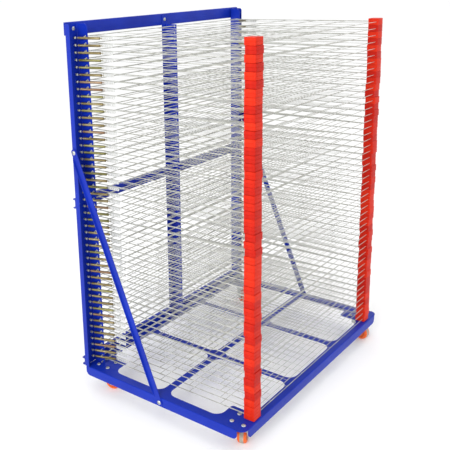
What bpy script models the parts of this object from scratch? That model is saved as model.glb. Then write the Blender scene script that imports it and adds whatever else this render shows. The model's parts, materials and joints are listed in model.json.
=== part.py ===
"""A drying rack for screen prints: fifty wire shelves hinged one above another on a blue sheet-steel frame.

Frame: +Z up, X across the rack, the uprights stand at the rear (+Y) and the shelves reach forward to -Y.
The origin is on the floor, under the middle of the rack's bounding box. All sizes are metres.
"""

import math

import bmesh
import bpy
from mathutils import Matrix, Vector

# ---- driving dimensions -------------------------------------------------------------------------------
GAP = 0.0003  # between pieces that touch
SHEET = 0.002  # gauge of all the folded sheet steel

TRAY_WIDTH = 1.044
TRAY_DEPTH = 0.716
TRAY_TOP = 0.099
TRAY_FLANGE = 0.034  # height of the folded sides
TRAY_CORNER = 0.028  # radius of the tray's corners
STRIP = 0.034  # width of the strips around the cut-outs
MEMBER = 0.030  # width of the members between the cut-outs
MEMBER_X = 0.165  # the two members that run front to back, each side of the middle
CUTOUT_RADIUS = 0.034
GUSSET_X = 0.112  # the corner gussets that carry the castors, from the tray's edges
GUSSET_Y = 0.120

RAIL_FLANGE = 0.017  # how far the middle and bottom rails' folds reach behind the uprights
TOP_RAIL_FLANGE = 0.010
RAIL_CORNER = 0.008  # radius of the folds' outer corners
RAIL_LENGTH = 1.040
TOP_RAIL = (1.334, 1.378)  # lower and upper edge
MID_RAIL = (0.722, 0.756)
BOTTOM_RAIL = (0.0995, 0.1275)

REAR = (TRAY_DEPTH - RAIL_FLANGE - GAP) / 2  # y of the uprights' rear face
FRONT = REAR - TRAY_DEPTH

UPRIGHT_TOP = 1.373
OUTER_WALL = 0.022  # depth of the wall that is flush with the tray's side
INNER_WALL = 0.050  # depth of the wall that carries the shelves' pivots
INNER_WALL_X = 0.466  # outer face of that wall
CENTRE_WALL_X = 0.020
CENTRE_WEB = 0.030

SHELF_COUNT = 50
PITCH = 0.025
FIRST_PIVOT = 0.1048  # height of the lowest shelf's pivot
PIVOT_Y = REAR - 0.040
SHELF_TILT = math.radians(0.65)  # each shelf rises a little towards its free corners
CELL = 0.132  # spacing of the cross bars
CELLS = 5
SIDE_BAR_X = 0.4425
SIDE_BAR = 0.005
CROSS_BAR = 0.004  # also the lattice's thickness
PIN_END = 0.473  # the pivot bar passes through the walls to here
PIVOT_HOLE = 0.0064
PAD_X = (0.4075, 0.4515)  # corner pad, from inner to outer face
PAD_Y = (0.6285, 0.6685)  # corner pad, distances from the pivot
PAD_HEIGHT = PITCH - GAP
LOWER_SHELVES = 8  # the lowest ones are one fixed piece, joined through their corner pads

BRACE_WIDTH = 0.028
BRACE_THICK = 0.0025
BRACE_FOLD = 0.008
BRACE_TOP = (REAR - 0.012, 0.930)  # y and z of the bolts
BRACE_FOOT = (REAR - 0.366, 0.081)

WHEEL_RADIUS = 0.030
WHEEL_WIDTH = 0.032
CASTOR_TRAIL = 0.024
CASTOR_PLATE = 0.062
CASTOR_PLATE_THICK = 0.003
KINGPIN_RADIUS = 0.005
AXLE_RADIUS = 0.004
FORK_THICK = 0.003
# name, x, distance in front of the rear face, direction of the trail in degrees from +X
CASTORS = (
    ("front_left", -0.462, 0.668, 23.0),
    ("front_right", 0.457, 0.658, -100.0),
    ("rear_left", -0.462, 0.060, -64.0),
    ("rear_right", 0.468, 0.055, -118.0),
)

# ---- materials ----------------------------------------------------------------------------------------
FINISHES = {
    "blue_powder_coat": ((0.024, 0.055, 0.42), 0.38, 0.0),
    "zinc_wire": ((0.70, 0.70, 0.66), 0.35, 0.9),
    "zinc_plate": ((0.62, 0.62, 0.60), 0.35, 0.9),
    "orange_tyre": ((0.85, 0.19, 0.02), 0.45, 0.0),
}


def finish(name):
    material = bpy.data.materials.get(name)
    if material is None:
        colour, roughness, metallic = FINISHES[name]
        material = bpy.data.materials.new(name)
        material.use_nodes = True
        shader = material.node_tree.nodes["Principled BSDF"]
        shader.inputs["Base Color"].default_value = (*colour, 1.0)
        shader.inputs["Roughness"].default_value = roughness
        shader.inputs["Metallic"].default_value = metallic
        material.diffuse_color = (*colour, 1.0)
    return material


# ---- mesh helpers -------------------------------------------------------------------------------------
def clear_scene():
    for thing in list(bpy.data.objects):
        bpy.data.objects.remove(thing, do_unlink=True)


def mesh_from(bm, name):
    bmesh.ops.recalc_face_normals(bm, faces=bm.faces)
    mesh = bpy.data.meshes.new(name)
    bm.to_mesh(mesh)
    bm.free()
    return mesh


def place(name, mesh, material, location=(0.0, 0.0, 0.0), rotation=(0.0, 0.0, 0.0)):
    piece = bpy.data.objects.new(name, mesh)
    piece.location = location
    piece.rotation_euler = rotation
    if material and not mesh.materials:
        mesh.materials.append(finish(material))
    bpy.context.collection.objects.link(piece)
    return piece


def add_box(bm, low, high):
    """A box between two opposite corners, added to bm."""
    size = Vector(high) - Vector(low)
    middle = (Vector(high) + Vector(low)) / 2
    matrix = Matrix.Translation(middle) @ Matrix.Diagonal((*size, 1.0))
    bmesh.ops.create_cube(bm, size=1.0, matrix=matrix)


def boxes(name, corners):
    """One mesh of separate boxes, from pairs of opposite corners."""
    bm = bmesh.new()
    for low, high in corners:
        add_box(bm, low, high)
    return mesh_from(bm, name)


def prism(name, outline, low, high, axes="XYZ"):
    """A flat outline extruded from low to high. axes says where its first, second and extruded axes go."""
    order = ["XYZ".index(letter) for letter in axes]
    bm = bmesh.new()
    ring = []
    for u, v in outline:
        point = [0.0, 0.0, 0.0]
        point[order[0]] = u
        point[order[1]] = v
        point[order[2]] = low
        ring.append(bm.verts.new(point))
    face = bm.faces.new(ring)
    grown = bmesh.ops.extrude_face_region(bm, geom=[face])
    offset = Vector((0.0, 0.0, 0.0))
    offset[order[2]] = high - low
    moved = [item for item in grown["geom"] if isinstance(item, bmesh.types.BMVert)]
    bmesh.ops.translate(bm, vec=offset, verts=moved)
    return mesh_from(bm, name)


def rounded(corners, radii, steps=5):
    """The outline through corners, each one rounded to its own radius with an arc of steps pieces."""
    outline = []
    count = len(corners)
    for i, radius in enumerate(radii):
        here = Vector(corners[i])
        back = (Vector(corners[i - 1]) - here).normalized()
        ahead = (Vector(corners[(i + 1) % count]) - here).normalized()
        if radius == 0.0:
            outline.append(tuple(here))
            continue
        half = back.angle(ahead) / 2
        centre = here + (back + ahead).normalized() * radius / math.sin(half)
        start = here + back * radius / math.tan(half) - centre
        end = here + ahead * radius / math.tan(half) - centre
        turn = start.angle_signed(end)
        for step in range(steps + 1):
            outline.append(tuple(centre + Matrix.Rotation(-turn * step / steps, 2) @ start))
    return outline


def joined(name, base, others, operation):
    """The mesh of base united with, or cut by, the other meshes."""
    body = place(name + "_base", base, None)
    tools = [place(f"{name}_tool_{i}", mesh, None) for i, mesh in enumerate(others)]
    for tool in tools:
        tool.hide_render = True
        tool.display_type = "WIRE"
        boolean = body.modifiers.new("join", "BOOLEAN")
        boolean.operation = operation
        boolean.solver = "EXACT"
        boolean.object = tool
    bpy.context.view_layer.update()
    evaluated = body.evaluated_get(bpy.context.evaluated_depsgraph_get())
    mesh = bpy.data.meshes.new_from_object(evaluated)
    mesh.name = name
    for thing in [body] + tools:
        bpy.data.objects.remove(thing, do_unlink=True)
    return mesh


def turned(name, profile, segments):
    """A closed ring: the profile of (radius, height) points spun about Z, with a flat facing each axis."""
    bm = bmesh.new()
    half = math.pi / segments
    points = [bm.verts.new((radius * math.cos(half), radius * math.sin(half), z)) for radius, z in profile]
    edges = [bm.edges.new((points[i - 1], points[i])) for i in range(len(points))]
    bmesh.ops.spin(
        bm, geom=points + edges, cent=(0, 0, 0), axis=(0, 0, 1), angle=math.tau, steps=segments, use_merge=True
    )
    bmesh.ops.remove_doubles(bm, verts=bm.verts, dist=1e-6)
    return mesh_from(bm, name)


def cylinder(name, radius, start, end, segments=16):
    """A closed cylinder from one point to another."""
    bm = bmesh.new()
    start, end = Vector(start), Vector(end)
    turn = (end - start).to_track_quat("Z", "Y").to_matrix().to_4x4()
    matrix = Matrix.Translation((start + end) / 2) @ turn
    length = (end - start).length
    bmesh.ops.create_cone(
        bm, cap_ends=True, segments=segments, radius1=radius, radius2=radius, depth=length, matrix=matrix
    )
    return mesh_from(bm, name)


# ---- frame --------------------------------------------------------------------------------------------
def cutout_outlines():
    """The six openings of the tray. The four outer ones step around a castor gusset."""
    edge = TRAY_WIDTH / 2 - STRIP
    inner = MEMBER_X + MEMBER / 2
    centre = MEMBER_X - MEMBER / 2
    middle = (FRONT + REAR) / 2
    near, far = MEMBER / 2, TRAY_DEPTH / 2 - STRIP
    step_x = TRAY_WIDTH / 2 - GUSSET_X
    step_y = TRAY_DEPTH / 2 - GUSSET_Y
    radius, small = CUTOUT_RADIUS, CUTOUT_RADIUS / 3
    outlines = []
    for side_y in (-1, 1):
        low, high = sorted((middle + side_y * near, middle + side_y * far))
        column = [(-centre, low), (centre, low), (centre, high), (-centre, high)]
        outlines.append(rounded(column, [radius] * 4))
        for side_x in (-1, 1):
            corners = [(inner, near), (edge, near), (edge, step_y), (step_x, step_y)]
            corners += [(step_x, far), (inner, far)]
            placed = [(side_x * x, middle + side_y * y) for x, y in corners]
            if side_x * side_y < 0:
                placed.reverse()
            radii = [small if (abs(x), abs(y - middle)) == (step_x, step_y) else radius for x, y in placed]
            outlines.append(rounded(placed, radii))
    return outlines


def flange_outline(low, high):
    """A folded side seen square on: its lower corners are well rounded, its upper ones a little."""
    bottom, top = TRAY_TOP - TRAY_FLANGE, TRAY_TOP - SHEET / 4
    corners = [(low, bottom), (high, bottom), (high, top), (low, top)]
    return rounded(corners, [0.016, 0.016, 0.004, 0.004])


def castor_plates():
    """The castors' fixed plates under the gussets, each with the pin its fork swivels on."""
    half = CASTOR_PLATE / 2
    under = TRAY_TOP - SHEET
    square = [(-half, -half), (half, -half), (half, half), (-half, half)]
    pieces = []
    for _, x, inset, _ in CASTORS:
        outline = [(x + u, REAR - inset + v) for u, v in rounded(square, [0.008] * 4, 3)]
        pieces.append(prism("plate", outline, under - CASTOR_PLATE_THICK, under + SHEET / 4))
        start = (x, REAR - inset, under - CASTOR_PLATE_THICK + SHEET / 4)
        end = (x, REAR - inset, under - CASTOR_PLATE_THICK - GAP - 0.0036)
        pieces.append(cylinder("kingpin", KINGPIN_RADIUS, start, end, 12))
    return pieces


def build_tray():
    half = TRAY_WIDTH / 2
    lap = SHEET / 2  # the web's edge ends inside the folded sides
    corners = [
        (-half + lap, FRONT + lap),
        (half - lap, FRONT + lap),
        (half - lap, REAR - lap),
        (-half + lap, REAR - lap),
    ]
    web = prism("web", rounded(corners, [TRAY_CORNER] * 4), TRAY_TOP - SHEET, TRAY_TOP)
    cutters = [prism("cutout", line, TRAY_TOP - 0.02, TRAY_TOP + 0.02) for line in cutout_outlines()]
    web = joined("cut_web", web, cutters, "DIFFERENCE")
    side = flange_outline(FRONT + TRAY_CORNER, REAR - 0.003)
    end = flange_outline(-half + TRAY_CORNER, half - TRAY_CORNER)
    flanges = [
        prism("flange_left", side, -half, -half + SHEET, "YZX"),
        prism("flange_right", side, half - SHEET, half, "YZX"),
        prism("flange_front", end, FRONT, FRONT + SHEET, "XZY"),
        prism("flange_rear", end, REAR - SHEET, REAR, "XZY"),
    ]
    place("base_tray", joined("base_tray", web, flanges + castor_plates(), "UNION"), "blue_powder_coat")


def pivot_height(shelf):
    return FIRST_PIVOT + PITCH * shelf


def pivot_holes(x):
    """Cutters for the row of pivot holes through a wall at x."""
    half = PIVOT_HOLE / 2
    corners = []
    for shelf in range(SHELF_COUNT):
        z = pivot_height(shelf)
        low = (x - 0.01, PIVOT_Y - half, z - half)
        corners.append((low, (x + 0.01, PIVOT_Y + half, z + half)))
    return boxes("pivot_holes", corners)


def drilled_upright(name, outline, wall_x, cutters=()):
    post = prism(name + "_blank", outline, TRAY_TOP + GAP, UPRIGHT_TOP)
    mesh = joined(name, post, [pivot_holes(wall_x), *cutters], "DIFFERENCE")
    place(name, mesh, "blue_powder_coat")


def build_uprights():
    """The side uprights are channels open to the front. The centre one is an angle."""
    edge = TRAY_WIDTH / 2
    wall = INNER_WALL_X
    outline = [
        (edge, REAR),
        (edge, REAR - OUTER_WALL),
        (edge - SHEET, REAR - OUTER_WALL),
        (edge - SHEET, REAR - SHEET),
        (wall, REAR - SHEET),
        (wall, REAR - INNER_WALL),
        (wall - SHEET, REAR - INNER_WALL),
        (wall - SHEET, REAR),
    ]
    drilled_upright("right_upright", outline, wall)
    drilled_upright("left_upright", [(-x, y) for x, y in reversed(outline)], -wall)
    inner = CENTRE_WALL_X
    angle = [
        (inner, REAR),
        (inner - CENTRE_WEB, REAR),
        (inner - CENTRE_WEB, REAR - SHEET),
        (inner - SHEET, REAR - SHEET),
        (inner - SHEET, REAR - INNER_WALL),
        (inner, REAR - INNER_WALL),
    ]
    below_rail = (inner - 2 * SHEET, REAR - INNER_WALL - SHEET, TOP_RAIL[0] + 0.003)
    above = (inner + SHEET, REAR - SHEET * 1.25, UPRIGHT_TOP + SHEET)
    drilled_upright("centre_upright", angle, inner, [boxes("wall_top", [(below_rail, above)])])


def build_rail(name, edges, reach, closed=False):
    """A channel across the rear, its folds pointing backward. A closed rail has folded ends too."""
    low, high = edges
    near, far = REAR + GAP, REAR + GAP + reach
    half, lap = RAIL_LENGTH / 2, SHEET / 4
    side, bottom, top = half - lap, low + lap, high - lap
    web = prism("web", [(-side, bottom), (side, bottom), (side, top), (-side, top)], near, near + SHEET, "XZY")
    fold = [(-half, near + lap), (half, near + lap), (half, far), (-half, far)]
    fold = rounded(fold, [0.0, 0.0, RAIL_CORNER, RAIL_CORNER], 3)
    folds = [prism("fold", fold, z, z + SHEET) for z in (low, high - SHEET)]
    if closed:
        start, stop = near + lap, far - RAIL_CORNER
        end = [(start, bottom), (stop, bottom), (stop, top), (start, top)]
        inset = side - SHEET / 2
        folds += [prism("end", end, x, x + SHEET, "YZX") for x in (-inset, inset - SHEET)]
    place(name, joined(name, web, folds, "UNION"), "blue_powder_coat")


def build_brace(name, side):
    """A flat bar with rounded ends and a fold along its rear edge, outside the frame."""
    top, foot = Vector(BRACE_TOP), Vector(BRACE_FOOT)
    along = (foot - top).normalized()
    across = Vector((along.y, -along.x))  # towards the rear and down
    if across.x < 0:
        across.negate()
    half, reach = BRACE_WIDTH / 2, BRACE_WIDTH / 2
    ends = [top - along * reach, foot + along * reach]
    corners = [
        ends[0] + across * half,
        ends[1] + across * half,
        ends[1] - across * half,
        ends[0] - across * half,
    ]
    inner = TRAY_WIDTH / 2 + GAP
    bar = prism("bar", rounded(corners, [half * 0.8] * 4), inner, inner + BRACE_THICK, "YZX")
    start, stop = top + along * 0.02, foot - along * 0.02
    fold = [
        start + across * (half - 0.0005),
        stop + across * (half - 0.0005),
        stop + across * (half - 0.003),
        start + across * (half - 0.003),
    ]
    ridge = prism("fold", [tuple(p) for p in fold], inner + 0.001, inner + BRACE_FOLD, "YZX")
    mesh = joined(name, bar, [ridge], "UNION")
    if side < 0:
        mesh.transform(Matrix.Diagonal((-1.0, 1.0, 1.0, 1.0)))
        mesh.flip_normals()
    place(name, mesh, "blue_powder_coat")


# ---- shelves ------------------------------------------------------------------------------------------
def shelf_mesh(name, levels):
    """Flat lattices one pitch apart on shared corner pads, with the lowest pivot at the origin."""
    half, thin = SIDE_BAR / 2, CROSS_BAR / 2
    side, front = SIDE_BAR_X + half, -CELL * CELLS - thin
    plan = [
        (-side, front),
        (side, front),
        (side, -thin),
        (PIN_END, -thin),
        (PIN_END, thin),
        (-PIN_END, thin),
        (-PIN_END, -thin),
        (-side, -thin),
    ]
    bm = bmesh.new()
    for level in range(levels):
        z = level * PITCH
        bm.from_mesh(prism("lattice", plan, z - thin, z + thin))
    lattice = mesh_from(bm, "lattices")
    top = PITCH * (levels - 1) + 0.01
    inner = SIDE_BAR_X - half
    cells = []
    for cell in range(CELLS):
        low = (-inner, -CELL * (cell + 1) + thin, -0.01)
        cells.append((low, (inner, -CELL * cell - thin, top)))
    lattice = joined("open_lattice", lattice, [boxes("cells", cells)], "DIFFERENCE")
    bottom = -PAD_HEIGHT / 2
    pad_top = bottom + PAD_HEIGHT + PITCH * (levels - 1)
    pads = []
    for low_x, high_x in ((-PAD_X[1], -PAD_X[0]), PAD_X):
        pads.append(((low_x, -PAD_Y[1], bottom), (high_x, -PAD_Y[0], pad_top)))
    return joined(name, lattice, [boxes("pads", pads)], "UNION")


def build_shelves():
    turn = (-SHELF_TILT, 0.0, 0.0)
    lower = shelf_mesh("lower_shelves", LOWER_SHELVES)
    shear = Matrix.Identity(4)
    shear[1][2] = -math.tan(SHELF_TILT)  # keeps the joined shelves' pivots one above another
    lower.transform(shear)
    place("lower_shelves", lower, "zinc_wire", (0.0, PIVOT_Y, pivot_height(0)), turn)
    single = shelf_mesh("shelf", 1)
    for shelf in range(LOWER_SHELVES, SHELF_COUNT):
        place(f"shelf_{shelf:02d}", single, "zinc_wire", (0.0, PIVOT_Y, pivot_height(shelf)), turn)


# ---- castors ------------------------------------------------------------------------------------------
def castor_fork_mesh():
    """Swivel head, crown, two legs and the axle. The swivel axis is Z, the wheel trails towards +X."""
    top = TRAY_TOP - SHEET - GAP - CASTOR_PLATE_THICK
    bore = KINGPIN_RADIUS + 2 * GAP
    head = turned("head", [(bore, top), (0.021, top), (0.021, top - 0.006), (bore, top - 0.006)], 16)
    crown_top = top - 0.004
    inner = WHEEL_WIDTH / 2 + 0.0015
    outer = inner + FORK_THICK
    crown_low = 2 * WHEEL_RADIUS + 0.006
    crown = boxes("crown", [((-0.017, -outer + 0.0005, crown_low), (0.026, outer - 0.0005, crown_top))])
    side = rounded(
        [
            (-0.0165, crown_top - 0.001),
            (CASTOR_TRAIL - 0.011, WHEEL_RADIUS - 0.010),
            (CASTOR_TRAIL + 0.011, WHEEL_RADIUS - 0.010),
            (0.0255, crown_top - 0.001),
        ],
        [0.002, 0.008, 0.008, 0.002],
        4,
    )
    legs = [prism("leg", side, low, low + FORK_THICK, "XZY") for low in (-outer, inner)]
    reach = outer + 0.002
    ends = ((CASTOR_TRAIL, -reach, WHEEL_RADIUS), (CASTOR_TRAIL, reach, WHEEL_RADIUS))
    axle = cylinder("axle", AXLE_RADIUS, *ends, segments=12)
    return joined("castor_fork", crown, [head] + legs + [axle], "UNION")


def castor_wheel_mesh():
    """A tyre with round shoulders on a dished hub, spun about Z and laid on its side by the object."""
    segments = 16
    half, bore = WHEEL_WIDTH / 2, AXLE_RADIUS + 0.0005
    radius = WHEEL_RADIUS / math.cos(math.pi / segments)  # its flats touch the floor
    profile = [
        (bore, -half),
        (radius * 0.62, -half),
        (radius * 0.86, -half * 0.92),
        (radius, -half * 0.45),
        (radius, half * 0.45),
        (radius * 0.86, half * 0.92),
        (radius * 0.62, half),
        (bore, half),
    ]
    return turned("castor_wheel", profile, segments)


def build_castors():
    fork, wheel = castor_fork_mesh(), castor_wheel_mesh()
    for name, x, inset, heading in CASTORS:
        y = REAR - inset
        turn = math.radians(heading)
        place(f"castor_fork_{name}", fork, "zinc_plate", (x, y, 0.0), (0.0, 0.0, turn))
        axle = (x + CASTOR_TRAIL * math.cos(turn), y + CASTOR_TRAIL * math.sin(turn), WHEEL_RADIUS)
        place(f"castor_wheel_{name}", wheel, "orange_tyre", axle, (math.pi / 2, 0.0, turn))


def build_rack():
    clear_scene()
    build_tray()
    build_uprights()
    build_rail("top_rail", TOP_RAIL, TOP_RAIL_FLANGE, closed=True)
    build_rail("mid_rail", MID_RAIL, RAIL_FLANGE)
    build_rail("bottom_rail", BOTTOM_RAIL, RAIL_FLANGE)
    build_brace("left_brace", -1)
    build_brace("right_brace", 1)
    build_castors()
    build_shelves()


build_rack()
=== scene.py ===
import json
import math
import random

import bmesh
import bpy
from mathutils import Matrix, Vector

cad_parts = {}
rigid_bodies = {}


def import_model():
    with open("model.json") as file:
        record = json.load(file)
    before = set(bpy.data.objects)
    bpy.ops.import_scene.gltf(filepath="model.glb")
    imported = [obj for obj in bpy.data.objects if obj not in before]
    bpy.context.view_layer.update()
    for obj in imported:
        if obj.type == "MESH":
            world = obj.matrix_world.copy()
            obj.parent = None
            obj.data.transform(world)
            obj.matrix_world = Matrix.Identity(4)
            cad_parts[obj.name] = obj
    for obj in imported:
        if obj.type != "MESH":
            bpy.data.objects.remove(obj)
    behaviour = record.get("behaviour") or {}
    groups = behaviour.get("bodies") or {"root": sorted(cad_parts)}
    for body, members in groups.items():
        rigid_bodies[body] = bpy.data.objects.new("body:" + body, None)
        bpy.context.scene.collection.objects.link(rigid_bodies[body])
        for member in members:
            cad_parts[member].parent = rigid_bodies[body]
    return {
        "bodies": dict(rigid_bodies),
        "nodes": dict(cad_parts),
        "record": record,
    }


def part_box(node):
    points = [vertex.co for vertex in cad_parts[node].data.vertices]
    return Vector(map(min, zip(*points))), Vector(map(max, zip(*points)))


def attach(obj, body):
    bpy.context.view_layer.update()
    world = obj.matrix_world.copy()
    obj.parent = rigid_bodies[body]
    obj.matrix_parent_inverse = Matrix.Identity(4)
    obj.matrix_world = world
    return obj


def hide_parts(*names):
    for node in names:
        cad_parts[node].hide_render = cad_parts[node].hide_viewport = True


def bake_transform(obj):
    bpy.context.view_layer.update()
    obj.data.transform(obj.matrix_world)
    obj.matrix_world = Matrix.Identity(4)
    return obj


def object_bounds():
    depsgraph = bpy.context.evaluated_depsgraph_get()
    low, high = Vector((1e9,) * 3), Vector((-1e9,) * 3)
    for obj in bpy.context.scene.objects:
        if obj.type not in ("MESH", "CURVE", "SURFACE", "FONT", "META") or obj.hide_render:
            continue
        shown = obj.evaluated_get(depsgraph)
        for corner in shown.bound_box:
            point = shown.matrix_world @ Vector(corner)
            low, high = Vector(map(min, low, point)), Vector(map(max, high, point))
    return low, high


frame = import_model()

CAD_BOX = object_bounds()

# ---- sizes, in metres, taken from the CAD bodies where they can be ------------------------------------
ROOT = "frame"
TRAY_LOW, TRAY_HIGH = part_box("base_tray")
HALF = TRAY_HIGH[0]
FRONT, REAR, TOP = TRAY_LOW[1], TRAY_HIGH[1], TRAY_HIGH[2]
FLOOR = CAD_BOX[0][2]
JOINTS = {joint["name"]: joint for joint in frame["record"]["behaviour"]["joints"]}
SHELF_BODIES = sorted(name for name in frame["bodies"] if name.startswith("shelf_"))
SHELVES = 50
LOWER = SHELVES - len(SHELF_BODIES)
PITCH = 0.025
TOP_PIVOT = Vector(JOINTS["shelf_49_hinge"]["pos_m"])
TILT = math.radians(0.65)
SHEET = 0.002  # gauge of the folded sheet
GAP = 0.0003  # between pieces that touch
BEND = 0.0035  # radius of the tray's and the uprights' folds

# the tray
CORNER = 0.028  # radius of its corners
SIDE_HEIGHT, SIDE_CORNER = 0.034, 0.017  # its folded sides, and the radius of their lower corners
STRIP, MEMBER, MEMBER_X = 0.034, 0.030, 0.165  # widths of the tray's strips, and the members' x
CUTOUT_RADIUS = 0.034
GUSSET = (0.112, 0.120)  # the corner plates that carry the castors

# the uprights, rails and braces
WALL_X = 0.465  # the walls that carry the shelves
WALL_DEPTH, LIP_DEPTH = 0.050, 0.022  # how far the uprights' inner and outer walls reach forward
WALL_CORNER, LIP_CORNER = 0.018, 0.010  # radii of the walls' top front corners
PIVOT_HOLE = 0.0036
RAIL_CORNER, RAIL_BEND = 0.008, 0.002  # radii of the rails' round corners and of their folds
BRACE_TOP, BRACE_FOOT = Vector((REAR - 0.012, 0.930)), Vector((REAR - 0.366, 0.081))  # y and z of the bolts
BRACE_HALF, BRACE_THICK, BRACE_LIP = 0.012, 0.0025, 0.0068
BRACE_END = 0.013  # how far a brace goes on past its bolts

# the bolts, each a head's radius and height, and where those of the rails are
RAIL_BOLT, BRACE_BOLT, CASTOR_BOLT = (0.0070, 0.0040), (0.0078, 0.0045), (0.0078, 0.0042)
RAIL_BOLTS = ((0.512, 1.3555), (0.483, 1.3555), (0.508, 0.739), (0.508, 0.112))  # x and z on each side
CENTRE_BOLT = (0.016, 1.3560)  # x from the centre upright's edge, and z

# a shelf, in its own frame, with its pivot wire along X at the origin
CELL, CELLS = 0.132, 5  # spacing and number of the cross wires
SIDE_X = 0.4425
PIVOT_END, PIVOT_HOOK = 0.4715, 0.0035  # the pivot wire's end outside the wall, and its turned-down tip
FINE_WIRES = 7
SIDE_WIRE, CROSS_WIRE, FINE_WIRE = 0.0018, 0.0011, 0.0007  # radii
PAD_X, PAD_Y, PAD_HEIGHT = (0.4075, 0.4515), (0.6285, 0.6685), PITCH - GAP
PLATE_Y, PLATE_Z, PLATE_X = (0.054, 0.106), (-0.012, -0.001), 0.4458
PLATE_HOLES, PLATE_HOLE, PLATE_HOLE_STEP, PLATE_HOLE_Z = 5, 0.0019, 0.0098, -0.0068
PLATE_END = 0.008  # from a plate's end to the middle of its first hole
STUD = Vector((0.483, REAR - 0.002, -0.0055))
SPRING_TURNS, SPRING_RADIUS, SPRING_WIRE = 26, 0.0050, 0.0008

# the castors
WHEEL_HALF, WHEEL_RADIUS = 0.016, 0.030
PLATE_HALF, PLATE_THICK = 0.031, 0.0028
CASTOR_BOLTS = 0.023  # from the swivel's axis to each bolt, along X and along Y
NUT_X = 0.0205  # from the wheel's middle to the axle nuts

random.seed(41)


# ---- materials ----------------------------------------------------------------------------------------
def srgb(red, green, blue):
    """Linear colour from 0-255 display values."""
    linear = []
    for value in (red, green, blue):
        value /= 255
        linear.append(value / 12.92 if value < 0.04045 else ((value + 0.055) / 1.055) ** 2.4)
    return (*linear, 1.0)


class Finish:
    """A Principled material and the nodes that vary it."""

    def __init__(self, name, colour, roughness, metallic=0.0):
        self.material = bpy.data.materials.new(name)
        self.material.use_nodes = True
        self.tree = self.material.node_tree
        self.shader = self.tree.nodes["Principled BSDF"]
        self.shader.inputs["Base Color"].default_value = colour
        self.shader.inputs["Roughness"].default_value = roughness
        self.shader.inputs["Metallic"].default_value = metallic
        self.place = self.tree.nodes.new("ShaderNodeTexCoord").outputs["Object"]
        self.material.diffuse_color = colour

    def noise(self, scale, detail=3.0, stretch=(1.0, 1.0, 1.0)):
        mapping = self.tree.nodes.new("ShaderNodeMapping")
        mapping.inputs["Scale"].default_value = stretch
        texture = self.tree.nodes.new("ShaderNodeTexNoise")
        texture.inputs["Scale"].default_value = scale
        texture.inputs["Detail"].default_value = detail
        self.tree.links.new(self.place, mapping.inputs["Vector"])
        self.tree.links.new(mapping.outputs["Vector"], texture.inputs["Vector"])
        return texture.outputs["Fac"]

    def ramp(self, value, stops):
        node = self.tree.nodes.new("ShaderNodeValToRGB")
        points = node.color_ramp.elements
        while len(points) < len(stops):
            points.new(0.5)
        for point, (where, colour) in zip(points, stops):
            point.position = where
            point.color = colour
        self.tree.links.new(value, node.inputs["Fac"])
        return node.outputs["Color"]

    def vary(self, socket, value, stops):
        self.tree.links.new(self.ramp(value, stops), self.shader.inputs[socket])

    def grey(self, socket, value, low, high):
        self.vary(socket, value, [(0.3, (low, low, low, 1.0)), (0.7, (high, high, high, 1.0))])

    def bump(self, value, strength, distance):
        node = self.tree.nodes.new("ShaderNodeBump")
        node.inputs["Strength"].default_value = strength
        node.inputs["Distance"].default_value = distance
        self.tree.links.new(value, node.inputs["Height"])
        self.tree.links.new(node.outputs["Normal"], self.shader.inputs["Normal"])


def powder_coat():
    blue = Finish("blue_powder", srgb(14, 42, 162), 0.36)
    blue.shader.inputs["Specular IOR Level"].default_value = 0.2
    cloud = blue.noise(7.0, 4.0)
    blue.vary("Base Color", cloud, [(0.3, srgb(12, 38, 152)), (0.7, srgb(17, 48, 170))])
    blue.grey("Roughness", blue.noise(60.0, 5.0), 0.32, 0.44)
    blue.bump(blue.noise(900.0, 2.0), 0.25, 0.0004)
    return blue.material


def wire_zinc():
    zinc = Finish("wire_zinc", srgb(206, 207, 204), 0.34, metallic=0.35)
    drawn = zinc.noise(26.0, 5.0)
    stops = [(0.25, srgb(140, 140, 130)), (0.5, srgb(186, 187, 180)), (0.8, srgb(218, 220, 215))]
    zinc.vary("Base Color", drawn, stops)
    zinc.grey("Roughness", zinc.noise(240.0, 3.0), 0.26, 0.46)
    zinc.bump(zinc.noise(1500.0, 2.0), 0.2, 0.0002)
    return zinc.material


def bright_zinc(name="bright_zinc", low=(150, 152, 152), high=(214, 216, 214), metallic=0.85):
    zinc = Finish(name, srgb(*high), 0.3, metallic=metallic)
    spangle = zinc.noise(120.0, 6.0)
    zinc.vary("Base Color", spangle, [(0.3, srgb(*low)), (0.7, srgb(*high))])
    zinc.grey("Roughness", zinc.noise(300.0, 4.0), 0.22, 0.42)
    zinc.bump(zinc.noise(1200.0, 3.0), 0.2, 0.0002)
    return zinc.material


def passivated(name, dark, middle, light):
    """Spring wire with the uneven tint of chromate passivation."""
    zinc = Finish(name, srgb(206, 184, 120), 0.3, metallic=0.75)
    tint = zinc.noise(34.0, 3.0, (1.0, 0.35, 1.0))
    zinc.vary("Base Color", tint, [(0.2, srgb(*dark)), (0.55, srgb(*middle)), (0.85, srgb(*light))])
    zinc.grey("Roughness", zinc.noise(500.0, 2.0), 0.24, 0.4)
    return zinc.material


def pad_plastic(name, dark, light):
    plastic = Finish(name, srgb(*light), 0.42)
    plastic.shader.inputs["Specular IOR Level"].default_value = 0.15
    plastic.vary("Base Color", plastic.noise(38.0, 4.0), [(0.3, srgb(*dark)), (0.7, srgb(*light))])
    plastic.grey("Roughness", plastic.noise(210.0, 5.0), 0.34, 0.55)
    plastic.bump(plastic.noise(650.0, 3.0), 0.3, 0.0003)
    plastic.shader.inputs["Subsurface Weight"].default_value = 0.08
    plastic.shader.inputs["Subsurface Scale"].default_value = 0.004
    return plastic.material


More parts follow.
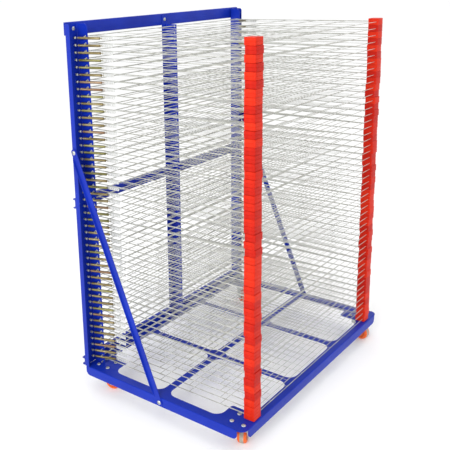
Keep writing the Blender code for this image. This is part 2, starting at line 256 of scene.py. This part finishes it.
def rubbery(name, dark, light, roughness=0.5):
    tyre = Finish(name, srgb(*light), roughness)
    tyre.vary("Base Color", tyre.noise(90.0, 5.0), [(0.3, srgb(*dark)), (0.7, srgb(*light))])
    tyre.grey("Roughness", tyre.noise(300.0, 4.0), roughness - 0.1, roughness + 0.15)
    tyre.bump(tyre.noise(500.0, 4.0), 0.4, 0.0004)
    return tyre.material


BLUE = powder_coat()
WIRE = wire_zinc()
ZINC = bright_zinc()
PLATE = bright_zinc("plate_zinc", (192, 193, 190), (212, 213, 211), 0.2)
GOLDS = [
    passivated("gold_spring", (88, 74, 38), (142, 128, 90), (182, 172, 140)),
    passivated("pink_spring", (84, 60, 38), (144, 116, 90), (176, 158, 130)),
    passivated("green_spring", (82, 78, 36), (138, 134, 86), (178, 176, 138)),
]
REDS = [
    pad_plastic("red_pad", (188, 26, 6), (208, 38, 10)),
    pad_plastic("bright_red_pad", (198, 34, 10), (218, 48, 16)),
    pad_plastic("deep_red_pad", (176, 20, 5), (198, 30, 8)),
]
ORANGE = rubbery("orange_tyre", (226, 84, 8), (246, 110, 20), 0.4)
WORN = rubbery("worn_tread", (150, 142, 132), (186, 178, 166), 0.75)
BLACK = rubbery("black_hub", (16, 16, 17), (34, 34, 36), 0.42)


# ---- mesh helpers -------------------------------------------------------------------------------------
def to_mesh(bm, name, materials, sharp=40.0):
    bmesh.ops.recalc_face_normals(bm, faces=bm.faces)
    mesh = bpy.data.meshes.new(name)
    bm.to_mesh(mesh)
    bm.free()
    mesh.polygons.foreach_set("use_smooth", [True] * len(mesh.polygons))
    mesh.set_sharp_from_angle(angle=math.radians(sharp))
    for material in materials:
        mesh.materials.append(material)
    return mesh


def put(name, mesh, matrix=None):
    piece = bpy.data.objects.new(name, mesh)
    if matrix is not None:
        piece.matrix_world = matrix
    bpy.context.collection.objects.link(piece)
    return piece


def keep(name, mesh, body, matrix=None, nodes=()):
    """A finished piece: it rides a body, and may stand for CAD nodes."""
    piece = put(name, mesh, matrix)
    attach(piece, body)
    if nodes:
        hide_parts(*nodes)
    return piece


def add_loft(bm, rings, slot=0):
    """A closed skin over rings of points, each ring with the same number of points."""
    skins = [[bm.verts.new(point) for point in ring] for ring in rings]
    faces = [bm.faces.new(skins[0][::-1]), bm.faces.new(skins[-1])]
    for low, high in zip(skins, skins[1:]):
        for k in range(len(low)):
            m = (k + 1) % len(low)
            faces.append(bm.faces.new((low[k], low[m], high[m], high[k])))
    for face in faces:
        face.material_index = slot


def add_tube(bm, path, radii, sides=8, slot=0):
    """A round bar along path. radii is one radius, or one for each point of the path."""
    path = [Vector(point) for point in path]
    if not isinstance(radii, (list, tuple)):
        radii = [radii] * len(path)
    rings = []
    across = None
    for i, (point, radius) in enumerate(zip(path, radii)):
        ahead = (path[min(i + 1, len(path) - 1)] - path[max(i - 1, 0)]).normalized()
        across = ahead.orthogonal() if across is None else across - ahead * across.dot(ahead)
        across.normalize()
        other = ahead.cross(across)
        ring = []
        for k in range(sides):
            angle = math.tau * (k + 0.5) / sides
            ring.append(point + (across * math.cos(angle) + other * math.sin(angle)) * radius)
        rings.append(ring)
    add_loft(bm, rings, slot)


def add_turned(bm, profile, start, axis, sides=20, slot=0):
    """A turned solid. The profile is (distance along axis, radius) pairs."""
    start, axis = Vector(start), Vector(axis).normalized()
    across = axis.orthogonal().normalized()
    other = axis.cross(across)
    rings = []
    for along, radius in profile:
        ring = []
        for k in range(sides):
            angle = math.tau * (k + 0.5) / sides
            spoke = across * math.cos(angle) + other * math.sin(angle)
            ring.append(start + axis * along + spoke * max(radius, 0.00005))
        rings.append(ring)
    add_loft(bm, rings, slot)


def rounded(corners, radii, steps=6):
    """The outline through corners, each rounded to its radius."""
    outline = []
    for i, radius in enumerate(radii):
        here = Vector(corners[i])
        back = (Vector(corners[i - 1]) - here).normalized()
        ahead = (Vector(corners[(i + 1) % len(corners)]) - here).normalized()
        if radius == 0.0:
            outline.append(tuple(here))
            continue
        half = back.angle(ahead) / 2
        centre = here + (back + ahead).normalized() * radius / math.sin(half)
        start = here + back * radius / math.tan(half) - centre
        turn = start.angle_signed(here + ahead * radius / math.tan(half) - centre)
        for step in range(steps + 1):
            outline.append(tuple(centre + Matrix.Rotation(-turn * step / steps, 2) @ start))
    return outline


def folded(corners, radius=BEND, gauge=SHEET, steps=4):
    """The outline of a sheet whose centre line runs through corners, bent to radius at each inner one."""
    count = len(corners)
    radii = [0.0] + [radius] * (count - 2) + [0.0]
    line = []
    for i, corner in enumerate(corners):
        if radii[i] == 0.0:
            line.append(Vector(corner))
            continue
        part = rounded([corners[i - 1], corner, corners[i + 1]], [0.0, radii[i], 0.0], steps)
        line.extend(Vector(point) for point in part[1:-1])
    left, right = [], []
    for i, point in enumerate(line):
        along = (line[min(i + 1, len(line) - 1)] - line[max(i - 1, 0)]).normalized()
        side = Vector((-along.y, along.x)) * gauge / 2
        left.append(tuple(point + side))
        right.append(tuple(point - side))
    return left + right[::-1]


def extruded(outline, low, high):
    """A bmesh of an outline in X and Y, extruded up Z from low to high."""
    bm = bmesh.new()
    add_loft(bm, [[(x, y, z) for x, y in outline] for z in (low, high)])
    return bm


def add_box(bm, low, high):
    size = Vector(high) - Vector(low)
    matrix = Matrix.Translation((Vector(high) + Vector(low)) / 2) @ Matrix.Diagonal((*size, 1.0))
    bmesh.ops.create_cube(bm, size=1.0, matrix=matrix)


def baked(piece):
    """The piece's mesh with its modifiers applied."""
    bpy.context.view_layer.update()
    evaluated = piece.evaluated_get(bpy.context.evaluated_depsgraph_get())
    return bpy.data.meshes.new_from_object(evaluated)


def cut(mesh, cutter):
    """The mesh less the cutter mesh."""
    body, tool = put("cut_body", mesh), put("cut_tool", cutter)
    boolean = body.modifiers.new("cut", "BOOLEAN")
    boolean.operation, boolean.solver, boolean.object = "DIFFERENCE", "EXACT", tool
    result = baked(body)
    bpy.data.objects.remove(body, do_unlink=True)
    bpy.data.objects.remove(tool, do_unlink=True)
    result.polygons.foreach_set("use_smooth", [True] * len(result.polygons))
    result.set_sharp_from_angle(angle=math.radians(40.0))
    return result


def plate_mesh(name, outline, holes, thick, edge=0.0003):
    """A flat plate with holes and softened edges, centred on Z = 0."""
    curve = bpy.data.curves.new(name, "CURVE")
    curve.dimensions = "2D"
    curve.fill_mode = "BOTH"
    curve.extrude = thick / 2 - edge
    curve.bevel_depth = edge
    curve.bevel_resolution = 1
    curve.offset = -edge
    for ring in [outline] + holes:
        spline = curve.splines.new("POLY")
        spline.points.add(len(ring) - 1)
        spline.use_cyclic_u = True
        for point, (u, v) in zip(spline.points, ring):
            point.co = (u, v, 0.0, 1.0)
    holder = put(name, curve)
    mesh = baked(holder)
    bpy.data.objects.remove(holder, do_unlink=True)
    return mesh


def circle(u, v, radius, sides=16):
    steps = [math.tau * k / sides for k in range(sides)]
    return [(u + radius * math.cos(angle), v + radius * math.sin(angle)) for angle in steps]


def bolt_mesh(name, head, tall):
    """A bolt's domed head standing on Z = 0, pointing up, with a round socket."""
    bm = bmesh.new()
    socket, deep = head * 0.42, tall * 0.45
    dome = [(0.0, head * 0.96), (tall * 0.25, head), (tall * 0.6, head * 0.86)]
    dome += [(tall * 0.88, head * 0.62), (tall, socket * 1.05), (tall - deep, socket)]
    add_turned(bm, dome, (0, 0, 0), (0, 0, 1), 24)
    return to_mesh(bm, name, [ZINC], 30.0)


def pivot_height(shelf):
    return TOP_PIVOT.z - PITCH * (SHELVES - 1 - shelf)


def facing(point, normal):
    """The matrix that stands a thing made on Z at point, facing along normal."""
    turn = Vector(normal).to_track_quat("Z", "Y").to_matrix().to_4x4()
    return Matrix.Translation(point) @ turn


# ---- frame --------------------------------------------------------------------------------------------
def cutout_outlines():
    """The tray's six cut-outs: two between the members, and four stepped round the corner gussets."""
    edge, inner, centre = HALF - STRIP, MEMBER_X + MEMBER / 2, MEMBER_X - MEMBER / 2
    middle, deep = (FRONT + REAR) / 2, (REAR - FRONT) / 2
    near, far = MEMBER / 2, deep - STRIP
    step_x, step_y = HALF - GUSSET[0], deep - GUSSET[1]
    outlines = []
    for side_y in (-1, 1):
        low, high = sorted((middle + side_y * near, middle + side_y * far))
        column = [(-centre, low), (centre, low), (centre, high), (-centre, high)]
        outlines.append(rounded(column, [CUTOUT_RADIUS] * 4))
        for side_x in (-1, 1):
            corners = [(inner, near), (edge, near), (edge, step_y)]
            corners += [(step_x, step_y), (step_x, far), (inner, far)]
            placed = [(side_x * x, middle + side_y * y) for x, y in corners]
            radii = [CUTOUT_RADIUS] * 3 + [CUTOUT_RADIUS / 3] + [CUTOUT_RADIUS] * 2
            if side_x * side_y < 0:
                placed.reverse()
                radii.reverse()
            outlines.append(rounded(placed, radii, 8))
    return outlines


def add_flange(bm, start, end, outward):
    """A side of the tray folded down along the line from start to end, its lower corners well rounded."""
    start, end, outward = Vector(start), Vector(end), Vector(outward)
    length = (end - start).length
    along = (end - start) / length
    bottom, curve = TOP - SIDE_HEIGHT, SIDE_CORNER
    stations = [curve * (1 - math.cos(math.pi / 2 * k / 7)) for k in range(8)]
    stations += [length - station for station in reversed(stations)]
    rings = []
    for station in stations:
        inset = min(station, length - station)
        low = bottom
        if inset < curve:
            low += curve - math.sqrt(curve * curve - (curve - inset) ** 2)
        outer, inner = [], []
        for k in range(6):
            angle = math.pi / 2 * k / 5
            outer.append((BEND * math.sin(angle), TOP - BEND + BEND * math.cos(angle)))
            bore = BEND - SHEET
            inner.append((bore * math.sin(angle), TOP - BEND + bore * math.cos(angle)))
        section = outer + [(BEND, low), (BEND - SHEET, low)] + inner[::-1]
        base = start + along * station
        rings.append([base + outward * out + Vector((0, 0, z)) for out, z in section])
    add_loft(bm, rings)


def build_tray():
    """The flat of the tray, notched at the ends of its four folded sides."""
    inset = BEND
    corner = []
    for quarter, (cx, cy) in enumerate(((1, 1), (-1, 1), (-1, -1), (1, -1))):
        x = cx * (HALF - CORNER)
        y = (REAR if cy > 0 else FRONT) - cy * CORNER
        for k in range(9):
            angle = math.pi / 2 * (quarter + k / 8)
            corner.append((x + CORNER * math.cos(angle), y + CORNER * math.sin(angle)))
        if quarter in (0, 2):
            y_in = (REAR - inset) if cy > 0 else (FRONT + inset)
            corner += [(x, y_in), (-x, y_in)]
        else:
            x_in = cx * (HALF - inset)
            corner += [(x_in, y), (x_in, -y + REAR + FRONT)]
    web = plate_mesh("tray_web", corner, cutout_outlines(), SHEET, 0.0004)
    bm = bmesh.new()
    bm.from_mesh(web)
    bmesh.ops.translate(bm, verts=bm.verts, vec=(0, 0, TOP - SHEET / 2))
    left, right = -HALF + BEND, HALF - BEND
    front, rear = FRONT + BEND, REAR - BEND
    add_flange(bm, (left, FRONT + CORNER, 0), (left, REAR - CORNER / 4, 0), (-1, 0, 0))
    add_flange(bm, (right, FRONT + CORNER, 0), (right, REAR - CORNER / 4, 0), (1, 0, 0))
    add_flange(bm, (-HALF + CORNER, front, 0), (HALF - CORNER, front, 0), (0, -1, 0))
    add_flange(bm, (-HALF + CORNER, rear, 0), (HALF - CORNER, rear, 0), (0, 1, 0))
    keep("tray", to_mesh(bm, "tray", [BLUE], 35.0), ROOT, nodes=["base_tray"])


def hole_row(x):
    """A new bmesh of the round pivot holes through a wall at x."""
    bm = bmesh.new()
    for shelf in range(SHELVES):
        z = pivot_height(shelf)
        add_tube(bm, [(x - 0.008, TOP_PIVOT.y, z), (x + 0.008, TOP_PIVOT.y, z)], PIVOT_HOLE, 14)
    return bm


def corner_cutter(bm, x, y_front, z_top, radius):
    """Adds to bm what a round top front corner leaves out of a wall at x."""
    outline = [(y_front - 0.01, z_top + 0.01), (y_front - 0.01, z_top - radius), (y_front, z_top - radius)]
    for k in range(1, 9):
        angle = math.pi / 2 * k / 8
        point = (y_front + radius * (1 - math.cos(angle)), z_top - radius * (1 - math.sin(angle)))
        outline.append(point)
    outline.append((y_front + radius, z_top + 0.01))
    add_loft(bm, [[(x + side, y, z) for y, z in outline] for side in (-0.006, 0.006)])


def build_uprights():
    """Channels at the sides and an angle in the middle, all punched for the shelves' pivot wires."""
    for name, side in (("left_upright", -1), ("right_upright", 1)):
        low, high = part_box(name)
        outer = side * (HALF - SHEET / 2)
        wall = side * WALL_X
        centre = [
            (outer, REAR - LIP_DEPTH),
            (outer, REAR - SHEET / 2),
            (wall, REAR - SHEET / 2),
            (wall, REAR - WALL_DEPTH),
        ]
        blank = to_mesh(extruded(folded(centre), low[2], high[2]), name, [BLUE])
        cutter = hole_row(wall)
        corner_cutter(cutter, wall, REAR - WALL_DEPTH, high[2], WALL_CORNER)
        corner_cutter(cutter, outer, REAR - LIP_DEPTH, high[2], LIP_CORNER)
        mesh = cut(blank, to_mesh(cutter, "holes", []))
        keep(name + "_sheet", mesh, ROOT, nodes=[name])
    low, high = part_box("centre_upright")
    wall = high[0] - SHEET / 2
    centre = [(low[0], REAR - SHEET / 2), (wall, REAR - SHEET / 2), (wall, REAR - WALL_DEPTH)]
    blank = to_mesh(extruded(folded(centre), low[2], high[2]), "centre", [BLUE])
    punched = cut(blank, to_mesh(hole_row(wall), "holes", []))
    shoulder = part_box("top_rail")[0][2] + 0.003
    notch = bmesh.new()
    add_box(notch, (wall - 0.0025, REAR - 0.060, shoulder), (wall + 0.01, REAR - 0.0045, high[2] + 0.01))
    mesh = cut(punched, to_mesh(notch, "notch", []))
    keep("centre_upright_sheet", mesh, ROOT, nodes=["centre_upright"])


def build_rails():
    """Channels with round corners on their folds. The top one is folded shut at its ends."""
    half, corner, steps = SHEET / 2, RAIL_CORNER, 6
    for name in ("top_rail", "mid_rail", "bottom_rail"):
        low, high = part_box(name)
        length = high[0] - low[0]
        curve = [corner * (1 - math.cos(math.pi / 2 * k / steps)) for k in range(steps + 1)]
        rings = []
        for station in curve + [length - inset for inset in reversed(curve)]:
            inset = min(station, length - station)
            far = high[1]
            if inset < corner:
                far -= corner - math.sqrt(corner * corner - (corner - inset) ** 2)
            centre = [
                (far, low[2] + half),
                (low[1] + half, low[2] + half),
                (low[1] + half, high[2] - half),
                (far, high[2] - half),
            ]
            rings.append([(low[0] + station, y, z) for y, z in folded(centre, RAIL_BEND)])
        bm = bmesh.new()
        add_loft(bm, rings)
        if name == "top_rail":
            sheet = [(low[1] + half, low[2] + half), (high[1] - corner / 2, low[2] + half)]
            sheet += [(high[1] - corner / 2, high[2] - half), (low[1] + half, high[2] - half)]
            outline = rounded(sheet, [0.001, 0.003, 0.003, 0.001])
            for x in (low[0] + 0.0002, high[0] - SHEET - 0.0002):
                add_loft(bm, [[(x + side, y, z) for y, z in outline] for side in (0.0, SHEET)])
        keep(name + "_channel", to_mesh(bm, name, [BLUE]), ROOT, nodes=[name])


def build_braces():
    """Flat bars with round ends and a narrow lip folded out along the rear edge, each with two bolts."""
    top, foot = BRACE_TOP, BRACE_FOOT
    along = (foot - top).normalized()
    across = Vector((-along.y, along.x))
    if across.x < 0:
        across.negate()
    length = (foot - top).length
    for name, side in (("left_brace", -1), ("right_brace", 1)):
        first, last = -BRACE_END, length + BRACE_END
        ends = [(first, -BRACE_HALF), (last, -BRACE_HALF), (last, BRACE_HALF), (first, BRACE_HALF)]
        outline = rounded(ends, [0.010] * 4)
        bar = plate_mesh(name, outline, [], BRACE_THICK, 0.0005)
        basis = Matrix.Identity(4)
        columns = (Vector((0, *along)), Vector((0, *across)), Vector((side, 0, 0)))
        for k, column in enumerate(columns):
            for row in range(3):
                basis[row][k] = column[row]
        basis.translation = (side * (HALF + GAP + BRACE_THICK / 2), *top)
        bm = bmesh.new()
        bm.from_mesh(bar)
        rings = []
        taper = [(0.012, 0.0), (0.030, BRACE_LIP), (length - 0.050, BRACE_LIP), (length - 0.016, 0.0)]
        for u, rise in taper:
            crest = rise + 0.0004
            rings.append([(u, 0.0105, 0.0), (u, 0.0132, 0.0), (u, 0.0134, crest), (u, 0.0116, crest)])
        add_loft(bm, rings)
        bmesh.ops.transform(bm, matrix=basis, verts=bm.verts)
        keep(name + "_bar", to_mesh(bm, name, [BLUE]), ROOT, nodes=[name])
        for tag, point in (("upper", top), ("lower", foot)):
            spot = (side * (HALF + GAP + 0.0024), point.x, point.y)
            bolt = bolt_mesh(f"{name}_bolt", *BRACE_BOLT)
            keep(f"{name}_{tag}_bolt", bolt, ROOT, facing(spot, (side, 0, 0)))


def build_bolts():
    """Fixings of the rails and uprights, and the row of spring studs on each side upright."""
    bolt = bolt_mesh("rail_bolt", *RAIL_BOLT)
    spots = [(side * x, REAR - SHEET, z) for side in (-1, 1) for x, z in RAIL_BOLTS]
    spots.append((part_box("centre_upright")[0][0] + CENTRE_BOLT[0], REAR - SHEET, CENTRE_BOLT[1]))
    for i, spot in enumerate(spots):
        keep(f"rail_bolt_{i}", bolt, ROOT, facing(spot, (0, -1, 0)))
    profile = [(0.0, 0.0040), (0.0015, 0.0040), (0.0018, 0.0024), (0.0065, 0.0024), (0.0067, 0.0046)]
    profile += [(0.0082, 0.0049), (0.0094, 0.0040), (0.0100, 0.0022)]
    for name, side in (("left_studs", -1), ("right_studs", 1)):
        bm = bmesh.new()
        for shelf in range(1, SHELVES):
            z = pivot_height(shelf) + STUD.z
            add_turned(bm, profile, (side * STUD.x, STUD.y, z), (0, -1, 0), 14)
        keep(name, to_mesh(bm, name, [ZINC], 30.0), ROOT)


# ---- shelves ------------------------------------------------------------------------------------------
def grid_mesh(name, sprung):
    """One wire shelf with its pivot wire along X at the origin. A sprung one has its two side plates."""
    bm = bmesh.new()
    for side in (-1, 1):
        x = side * SIDE_X
        add_tube(bm, [(x, 0.002, 0.0), (x, -PAD_Y[1] + 0.008, 0.0)], SIDE_WIRE, 10)
    tip = [(PIVOT_END - 0.002, 0, 0.0004), (PIVOT_END - 0.0003, 0, 0.0), (PIVOT_END, 0, -PIVOT_HOOK)]
    add_tube(bm, [(-x, y, z) for x, y, z in reversed(tip)] + tip, SIDE_WIRE, 10)
    for cell in range(1, CELLS + 1):
        y = -CELL * cell
        add_tube(bm, [(-SIDE_X, y, -0.0004), (SIDE_X, y, -0.0004)], CROSS_WIRE, 8)
    top = CROSS_WIRE + FINE_WIRE - 0.0006
    for wire in range(FINE_WIRES):
        x = SIDE_X * (2 * (wire + 1) / (FINE_WIRES + 1) - 1)
        add_tube(bm, [(x, 0.001, top), (x, -CELL * CELLS - 0.001, top)], FINE_WIRE, 6)
    if sprung:
        low, high = -PLATE_Y[1], -PLATE_Y[0]
        under, over = PLATE_Z
        outline = rounded([(low, under), (high, under), (high, over), (low, over)], [0.003] * 4, 3)
        places = [low + PLATE_END + PLATE_HOLE_STEP * k for k in range(PLATE_HOLES)]
        holes = [circle(place, PLATE_HOLE_Z, PLATE_HOLE, 10)[::-1] for place in places]
        flat = plate_mesh("plate", outline, holes, 0.0015, 0.0002)
        for side in (-1, 1):
            extra = bmesh.new()
            extra.from_mesh(flat)
            x = side * (PLATE_X + 0.0005)
            turn = Matrix(((0, 0, 1, x), (1, 0, 0, 0), (0, 1, 0, 0), (0, 0, 0, 1)))
            bmesh.ops.transform(extra, matrix=turn, verts=extra.verts)
            for face in extra.faces:
                face.material_index = 1
            part = bpy.data.meshes.new("part")
            extra.to_mesh(part)
            extra.free()
            bm.from_mesh(part)
    return to_mesh(bm, name, [WIRE, PLATE])


def pad_pair_mesh(name, material):
    """Both corner pads of one shelf, each a little out of line with the next shelf's."""
    bm = bmesh.new()
    tall = PAD_HEIGHT / 2
    levels = [(-tall, 0.0011), (-tall + 0.0009, 0.0), (-0.0007, 0.0), (-0.0003, 0.0006)]
    levels += [(0.0003, 0.0006), (0.0007, 0.0), (tall - 0.0009, 0.0), (tall, 0.0011)]
    for side in (-1, 1):
        dx, dy = random.uniform(-0.0022, 0.0012) * side, random.uniform(-0.0020, 0.0020)
        turn = Matrix.Rotation(random.uniform(-0.02, 0.02), 2)
        middle = Vector((side * (PAD_X[0] + PAD_X[1]) / 2 + dx, -(PAD_Y[0] + PAD_Y[1]) / 2 + dy))
        half_x, half_y = (PAD_X[1] - PAD_X[0]) / 2, (PAD_Y[1] - PAD_Y[0]) / 2
        rings = []
        for z, inset in levels:
            a, b = half_x - inset, half_y - inset
            outline = rounded([(-a, -b), (a, -b), (a, b), (-a, b)], [0.0025] * 4, 4)
            rings.append([(*(middle + turn @ Vector(point)), z) for point in outline])
        add_loft(bm, rings)
    return to_mesh(bm, name, [material], 28.0)


def spring_mesh(name, shelf, material):
    """Both springs of a shelf, from their studs to the rear ends of the side plates, in place."""
    bm = bmesh.new()
    pivot = Vector((0.0, TOP_PIVOT.y, pivot_height(shelf)))
    for side in (-1, 1):
        stud = Vector((side * STUD.x, STUD.y - 0.0042, pivot.z + STUD.z))
        hole = pivot + Vector((side * (PLATE_X + 0.0006), -PLATE_Y[0] - PLATE_END, PLATE_HOLE_Z))
        axis = (hole - stud).normalized()
        start, end = stud + axis * 0.011, hole - axis * 0.009
        path, radii = [], []
        for ring in range(2 * SPRING_TURNS + 1):
            path.append(start.lerp(end, ring / (2 * SPRING_TURNS)))
            radii.append(SPRING_RADIUS if ring % 2 else SPRING_RADIUS - SPRING_WIRE)
        add_tube(bm, path, [0.0024] + radii[1:-1] + [0.0024], 10)
        loop = [start + axis * 0.001, start - axis * 0.004]
        for k in range(9):
            angle = math.tau * k / 8
            loop.append(stud + Vector((0.0033 * math.cos(angle) * side, 0, 0.0033 * math.sin(angle))))
        add_tube(bm, loop, SPRING_WIRE, 6)
        hook = [end - axis * 0.001, end + axis * 0.004, hole + Vector((-side * 0.002, 0, 0))]
        add_tube(bm, hook, SPRING_WIRE, 6)
    return to_mesh(bm, name, [material], 80.0)


def build_shelves():
    """Fifty shelves with their pads, and side plates and springs on all but the lowest."""
    plain, sprung = grid_mesh("plain_grid", False), grid_mesh("sprung_grid", True)
    pads = [pad_pair_mesh(f"pads_{k}", REDS[k % 3]) for k in range(12)]
    last = None
    for shelf in range(SHELVES):
        body = f"shelf_{shelf:02d}_body" if shelf >= LOWER else ROOT
        pivot = Vector((0.0, TOP_PIVOT.y, pivot_height(shelf)))
        stand = Matrix.Translation(pivot) @ Matrix.Rotation(-TILT, 4, "X")
        nodes = []
        if shelf >= LOWER:
            nodes = [f"shelf_{shelf:02d}"]
        elif shelf == 0:
            nodes = ["lower_shelves"]
        grid = sprung if shelf else plain
        keep(f"grid_{shelf:02d}", grid, body, stand, nodes)
        choice = random.choice([k for k in range(len(pads)) if k != last])
        last = choice
        keep(f"pads_{shelf:02d}", pads[choice], body, stand)
        if shelf == 0:
            continue
        tint = random.choice([GOLDS[0], GOLDS[0], GOLDS[0], GOLDS[1], GOLDS[2]])
        springs = put(f"springs_{shelf:02d}", spring_mesh(f"springs_{shelf:02d}", shelf, tint))
        if shelf < LOWER:
            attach(springs, ROOT)
        else:
            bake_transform(springs)


# ---- castors ------------------------------------------------------------------------------------------
def turned_rings(profile, sides):
    """Rings about Z through (height, radius) pairs."""
    angles = [math.tau * k / sides for k in range(sides)]
    return [[(r * math.cos(angle), r * math.sin(angle), along) for angle in angles] for along, r in profile]


def tyre_mesh(half, radius):
    """An orange tyre with a worn tread, on a black hub, its axle along Z."""
    bm = bmesh.new()
    shoulder = [(-half, radius * 0.60), (-half, radius * 0.80), (-half * 0.9, radius * 0.88)]
    shoulder += [(-half * 0.74, radius * 0.95), (-half * 0.5, radius * 0.988)]
    shoulder.append((-half * 0.42, radius * 0.996))
    tread = [(-half * 0.2, radius), (half * 0.2, radius)]
    mirrored = [(-along, r) for along, r in reversed(shoulder)]
    add_loft(bm, turned_rings(shoulder + tread + mirrored, 48))
    bm.faces.ensure_lookup_table()
    for face in bm.faces:
        centre = face.calc_center_median()
        if abs(centre.z) < half * 0.44 and Vector((centre.x, centre.y)).length > radius * 0.97:
            face.material_index = 1
    hub = [(-half - 0.0008, 0.0055), (-half - 0.0008, 0.0085), (-half + 0.001, 0.010)]
    hub += [(-half + 0.0012, 0.0165), (-half - 0.0002, 0.0175), (-half - 0.0002, 0.0186)]
    hub.append((-half + 0.003, 0.0190))
    hub += [(-along, r) for along, r in reversed(hub)]
    add_loft(bm, turned_rings(hub, 32), 2)
    return to_mesh(bm, "tyre", [ORANGE, WORN, BLACK], 35.0)


def build_castors():
    """Wheels, axle nuts, fixed plates and their bolts. The forks are the CAD ones, in bright zinc."""
    wheel = tyre_mesh(WHEEL_HALF, WHEEL_RADIUS)
    head = bolt_mesh("castor_bolt", *CASTOR_BOLT)
    nut = bmesh.new()
    collar = [(0.0, 0.0062), (0.0042, 0.0062), (0.0048, 0.0056), (0.0048, 0.0034)]
    add_turned(nut, collar, (0, 0, 0), (0, 0, 1), 6)
    add_turned(nut, [(0.0, 0.0032), (0.0068, 0.0032), (0.0074, 0.0026)], (0, 0, 0), (0, 0, 1), 16)
    nut = to_mesh(nut, "axle_nut", [ZINC], 25.0)
    under = TOP - SHEET
    a = PLATE_HALF
    outline = rounded([(-a, -a), (a, -a), (a, a), (-a, a)], [0.008] * 4)
    flat = plate_mesh("castor_plate", outline, [], PLATE_THICK, 0.0005)
    flat.materials.append(ZINC)
    for name in ("front_left", "front_right", "rear_left", "rear_right"):
        swivel = Vector(JOINTS[f"swivel_{name}_turn"]["pos_m"])
        axle = Vector(JOINTS[f"wheel_{name}_spin"]["pos_m"])
        axis = Vector(JOINTS[f"wheel_{name}_spin"]["axis"])
        fork = frame["nodes"][f"castor_fork_{name}"]
        for slot in fork.material_slots:
            slot.material = ZINC
        body = f"swivel_{name}"
        turn = facing(axle, axis)
        keep(f"tyre_{name}", wheel, f"wheel_{name}", turn, [f"castor_wheel_{name}"])
        for k, side in enumerate((-1, 1)):
            spot = facing(axle + axis * side * NUT_X, axis * side)
            keep(f"axle_nut_{name}_{k}", nut, body, spot)
        place = Matrix.Translation((swivel.x, swivel.y, under - 0.0015))
        keep(f"castor_plate_{name}", flat, ROOT, place)
        for k, (u, v) in enumerate(((-1, -1), (1, -1), (1, 1), (-1, 1))):
            spot = (swivel.x + u * CASTOR_BOLTS, swivel.y + v * CASTOR_BOLTS, TOP)
            keep(f"castor_bolt_{name}_{k}", head, ROOT, facing(spot, (0, 0, 1)))


# ---- studio -------------------------------------------------------------------------------------------
def build_studio():
    """A white floor that glows a little, a white surround, and three soft lamps."""
    bm = bmesh.new()
    ground = Matrix.Translation((0, 0, FLOOR))
    bmesh.ops.create_grid(bm, x_segments=1, y_segments=1, size=40.0, matrix=ground)
    paper = Finish("studio_floor", (0.91, 0.91, 0.91, 1.0), 0.9)
    paper.grey("Base Color", paper.noise(0.6, 2.0), 0.90, 0.92)
    paper.shader.inputs["Emission Color"].default_value = (1.0, 1.0, 1.0, 1.0)
    paper.shader.inputs["Emission Strength"].default_value = 0.10
    floor = put("studio_floor", to_mesh(bm, "studio_floor", [paper.material]))
    world = bpy.data.worlds.new("studio")
    world.use_nodes = True
    world.node_tree.nodes["Background"].inputs["Color"].default_value = (1.0, 1.0, 1.0, 1.0)
    world.node_tree.nodes["Background"].inputs["Strength"].default_value = 1.0
    bpy.context.scene.world = world
    lamps = (
        ("key", (-4.4, -0.8, 2.4), 2.4, 110.0),
        ("front", (0.8, -4.6, 2.6), 2.4, 12.0),
        ("overhead", (0.4, -0.4, 4.4), 3.0, 12.0),
    )
    for name, spot, size, power in lamps:
        lamp = bpy.data.lights.new(name, "AREA")
        lamp.shape, lamp.size, lamp.energy = "DISK", size, power
        holder = bpy.data.objects.new(name, lamp)
        holder.location = spot
        aim = Vector((0.0, 0.0, 0.6)) - Vector(spot)
        holder.rotation_euler = aim.to_track_quat("-Z", "Y").to_euler()
        bpy.context.collection.objects.link(holder)


def build_camera():
    """A camera from front left, above the middle, turned a little about its own axis."""
    yaw, pitch, roll = (math.radians(angle) for angle in (-51.95, 14.60, -1.21))
    back = Vector((math.sin(yaw) * math.cos(pitch), -math.cos(yaw) * math.cos(pitch), math.sin(pitch)))
    right = Vector((math.cos(yaw), math.sin(yaw), 0.0))
    up = back.cross(right)
    right, up = right * math.cos(roll) + up * math.sin(roll), up * math.cos(roll) - right * math.sin(roll)
    turn = Matrix((right, up, back)).transposed().to_4x4()
    camera = bpy.data.cameras.new("camera")
    camera.sensor_width = 36.0
    camera.lens = 57.83
    camera.shift_x, camera.shift_y = 0.0923, -0.1444
    holder = bpy.data.objects.new("camera", camera)
    holder.matrix_world = Matrix.Translation((-2.2166, REAR - 1.8208, 1.5344)) @ turn
    bpy.context.collection.objects.link(holder)
    bpy.context.scene.camera = holder
    bpy.context.scene.view_settings.view_transform = "Standard"


build_tray()
build_uprights()
build_rails()
build_braces()
build_bolts()
build_shelves()
build_castors()
build_studio()
build_camera()
